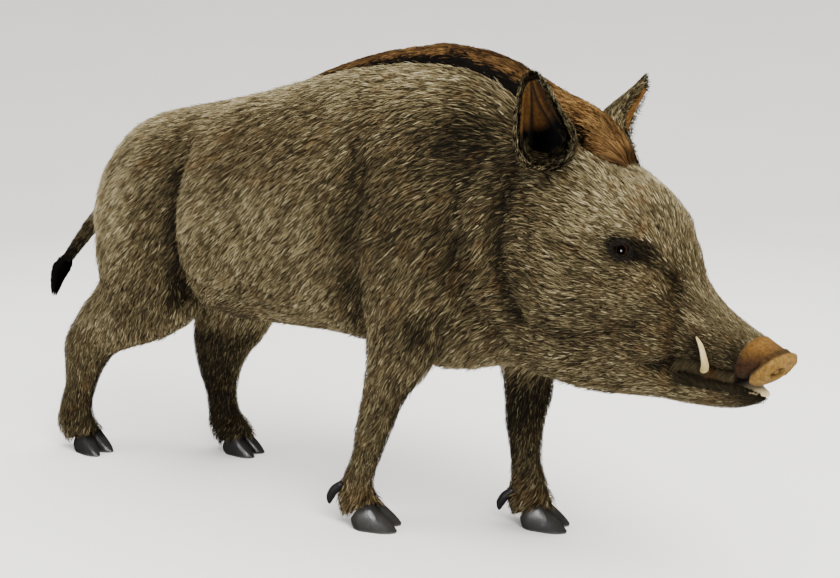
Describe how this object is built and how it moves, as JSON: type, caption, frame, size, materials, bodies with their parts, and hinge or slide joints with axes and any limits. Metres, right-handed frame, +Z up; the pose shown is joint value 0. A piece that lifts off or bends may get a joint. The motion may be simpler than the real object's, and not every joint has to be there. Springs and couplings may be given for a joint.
{
  "type": "stuffed faux-fur wild boar display model",
  "caption": "Life-size stuffed wild boar with a faux-fur coat, crest, velour snout, moulded hooves and small tusks, standing in mid stride.",
  "frame": {"origin": "on the floor under the middle of the bounding box", "axes": "+X towards the snout, +Y to the animal's left, +Z up"},
  "size_m": [1.3927, 0.2779, 0.692],
  "materials": {
    "coat_pile": "grizzled faux fur, short pile lying flat, mixed cream, brown and black hairs",
    "dark_pile": "the same faux fur, darker and shorter",
    "black_pile": "black long-hair faux fur",
    "crest_pile": "long brown faux fur with a black edge",
    "velour": "tan short-nap velour",
    "felt": "cream felt",
    "hoof_plastic": "moulded dark grey plastic, satin",
    "tusk_resin": "cast ivory-coloured resin, soft gloss",
    "eye_glass": "dark glossy eye with a thin brown iris"
  },
  "bodies": {
    "root": {"right_fore_leg_upper": "coat_pile", "right_fore_leg_lower": "coat_pile", "right_fore_foot": "dark_pile", "right_fore_hoof_outer": "hoof_plastic", "right_fore_dewclaw_outer": "hoof_plastic", "right_fore_hoof_inner": "hoof_plastic", "right_fore_dewclaw_inner": "hoof_plastic", "left_fore_leg_upper": "coat_pile", "left_fore_leg_lower": "coat_pile", "left_fore_foot": "dark_pile", "left_fore_hoof_outer": "hoof_plastic", "left_fore_dewclaw_outer": "hoof_plastic", "left_fore_hoof_inner": "hoof_plastic", "left_fore_dewclaw_inner": "hoof_plastic", "right_hind_leg_upper": "coat_pile", "right_hind_leg_lower": "coat_pile", "right_hind_foot": "dark_pile", "right_hind_hoof_outer": "hoof_plastic", "right_hind_hoof_inner": "hoof_plastic", "left_hind_leg_upper": "coat_pile", "left_hind_leg_lower": "coat_pile", "left_hind_foot": "dark_pile", "left_hind_hoof_outer": "hoof_plastic", "left_hind_hoof_inner": "hoof_plastic", "hindquarters": "coat_pile", "barrel": "coat_pile", "shoulders": "coat_pile", "neck": "coat_pile", "head": "coat_pile", "snout": "velour", "snout_disc": "velour", "lower_jaw": "dark_pile", "lip_lining": "felt", "right_eye": "eye_glass", "right_eyelids": "black_pile", "right_tusk": "tusk_resin", "right_ear": "dark_pile", "left_eye": "eye_glass", "left_eyelids": "black_pile", "left_tusk": "tusk_resin", "left_ear": "dark_pile", "tail": "dark_pile", "tail_tuft": "black_pile", "crest": "crest_pile"}
  },
  "joints": []
}
